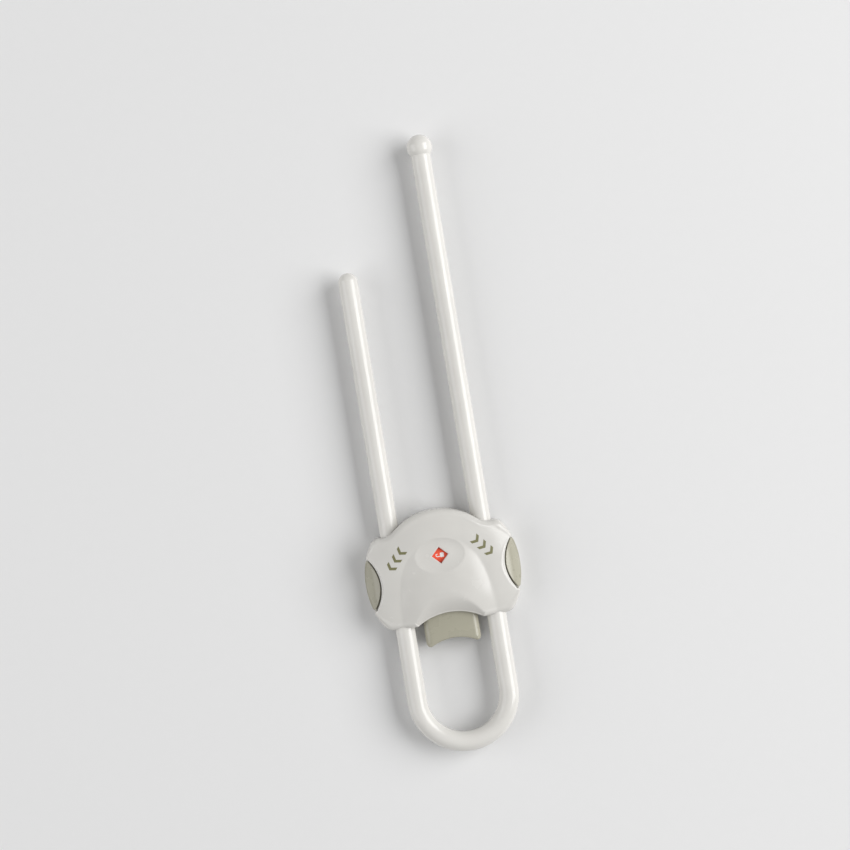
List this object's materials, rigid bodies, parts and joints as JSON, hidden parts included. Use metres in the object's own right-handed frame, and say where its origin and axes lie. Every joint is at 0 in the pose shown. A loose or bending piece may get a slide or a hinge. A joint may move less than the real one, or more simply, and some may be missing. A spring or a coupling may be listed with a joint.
{
  "type": "cabinet slide lock",
  "caption": "U-shaped cabinet slide lock: a ratchet housing with side squeeze buttons, a push tab and a flag window slides along a long and a short leg to close the loop round door knobs.",
  "frame": {"origin": "on the flat back face of the housing, under the middle of the window", "axes": "+Y along the legs to their free ends, +Z out of the front face, X across the legs with the long leg on +X"},
  "size_m": [0.058, 0.2279, 0.0164],
  "materials": {
    "bar_plastic": "gloss warm white ABS",
    "shell_plastic": "gloss light warm grey ABS",
    "tan_plastic": "satin tan ABS",
    "inner_plastic": "natural acetal",
    "steel": "bright steel",
    "red_plastic": "printed red",
    "green_plastic": "printed green"
  },
  "bodies": {
    "bar": {"u_bar": "bar_plastic"},
    "housing": {"front_shell": "shell_plastic", "rear_cover": "shell_plastic", "slider_retainer": "inner_plastic", "retainer_screws": "steel", "housing_screws": "steel", "left_button_spring": "steel", "right_button_spring": "steel", "left_tab_spring": "steel", "right_tab_spring": "steel"},
    "left_button": {"left_button": "tan_plastic", "left_pawl": "inner_plastic", "left_pawl_pin": "steel"},
    "right_button": {"right_button": "tan_plastic", "right_pawl": "inner_plastic", "right_pawl_pin": "steel"},
    "indicator": {"indicator_tab": "tan_plastic", "red_flag": "red_plastic", "green_flag": "green_plastic"}
  },
  "joints": [
    {"name": "housing_slide", "type": "slide", "parent": "bar", "child": "housing", "axis": [0, 1, 0], "range_m": [-0.02925, 0.13275]},
    {"name": "left_button_press", "type": "slide", "parent": "housing", "child": "left_button", "axis": [1, 0, 0], "range_m": [0, 0.002], "stiffness_N_per_m": 900, "springref_m": -0.003, "deforming": ["left_button_spring"]},
    {"name": "right_button_press", "type": "slide", "parent": "housing", "child": "right_button", "axis": [-1, 0, 0], "range_m": [0, 0.002], "stiffness_N_per_m": 900, "springref_m": -0.003, "deforming": ["right_button_spring"]},
    {"name": "tab_push", "type": "slide", "parent": "housing", "child": "indicator", "axis": [0, 1, 0], "range_m": [0, 0.007], "stiffness_N_per_m": 150, "springref_m": -0.004, "deforming": ["left_tab_spring", "right_tab_spring"]}
  ]
}
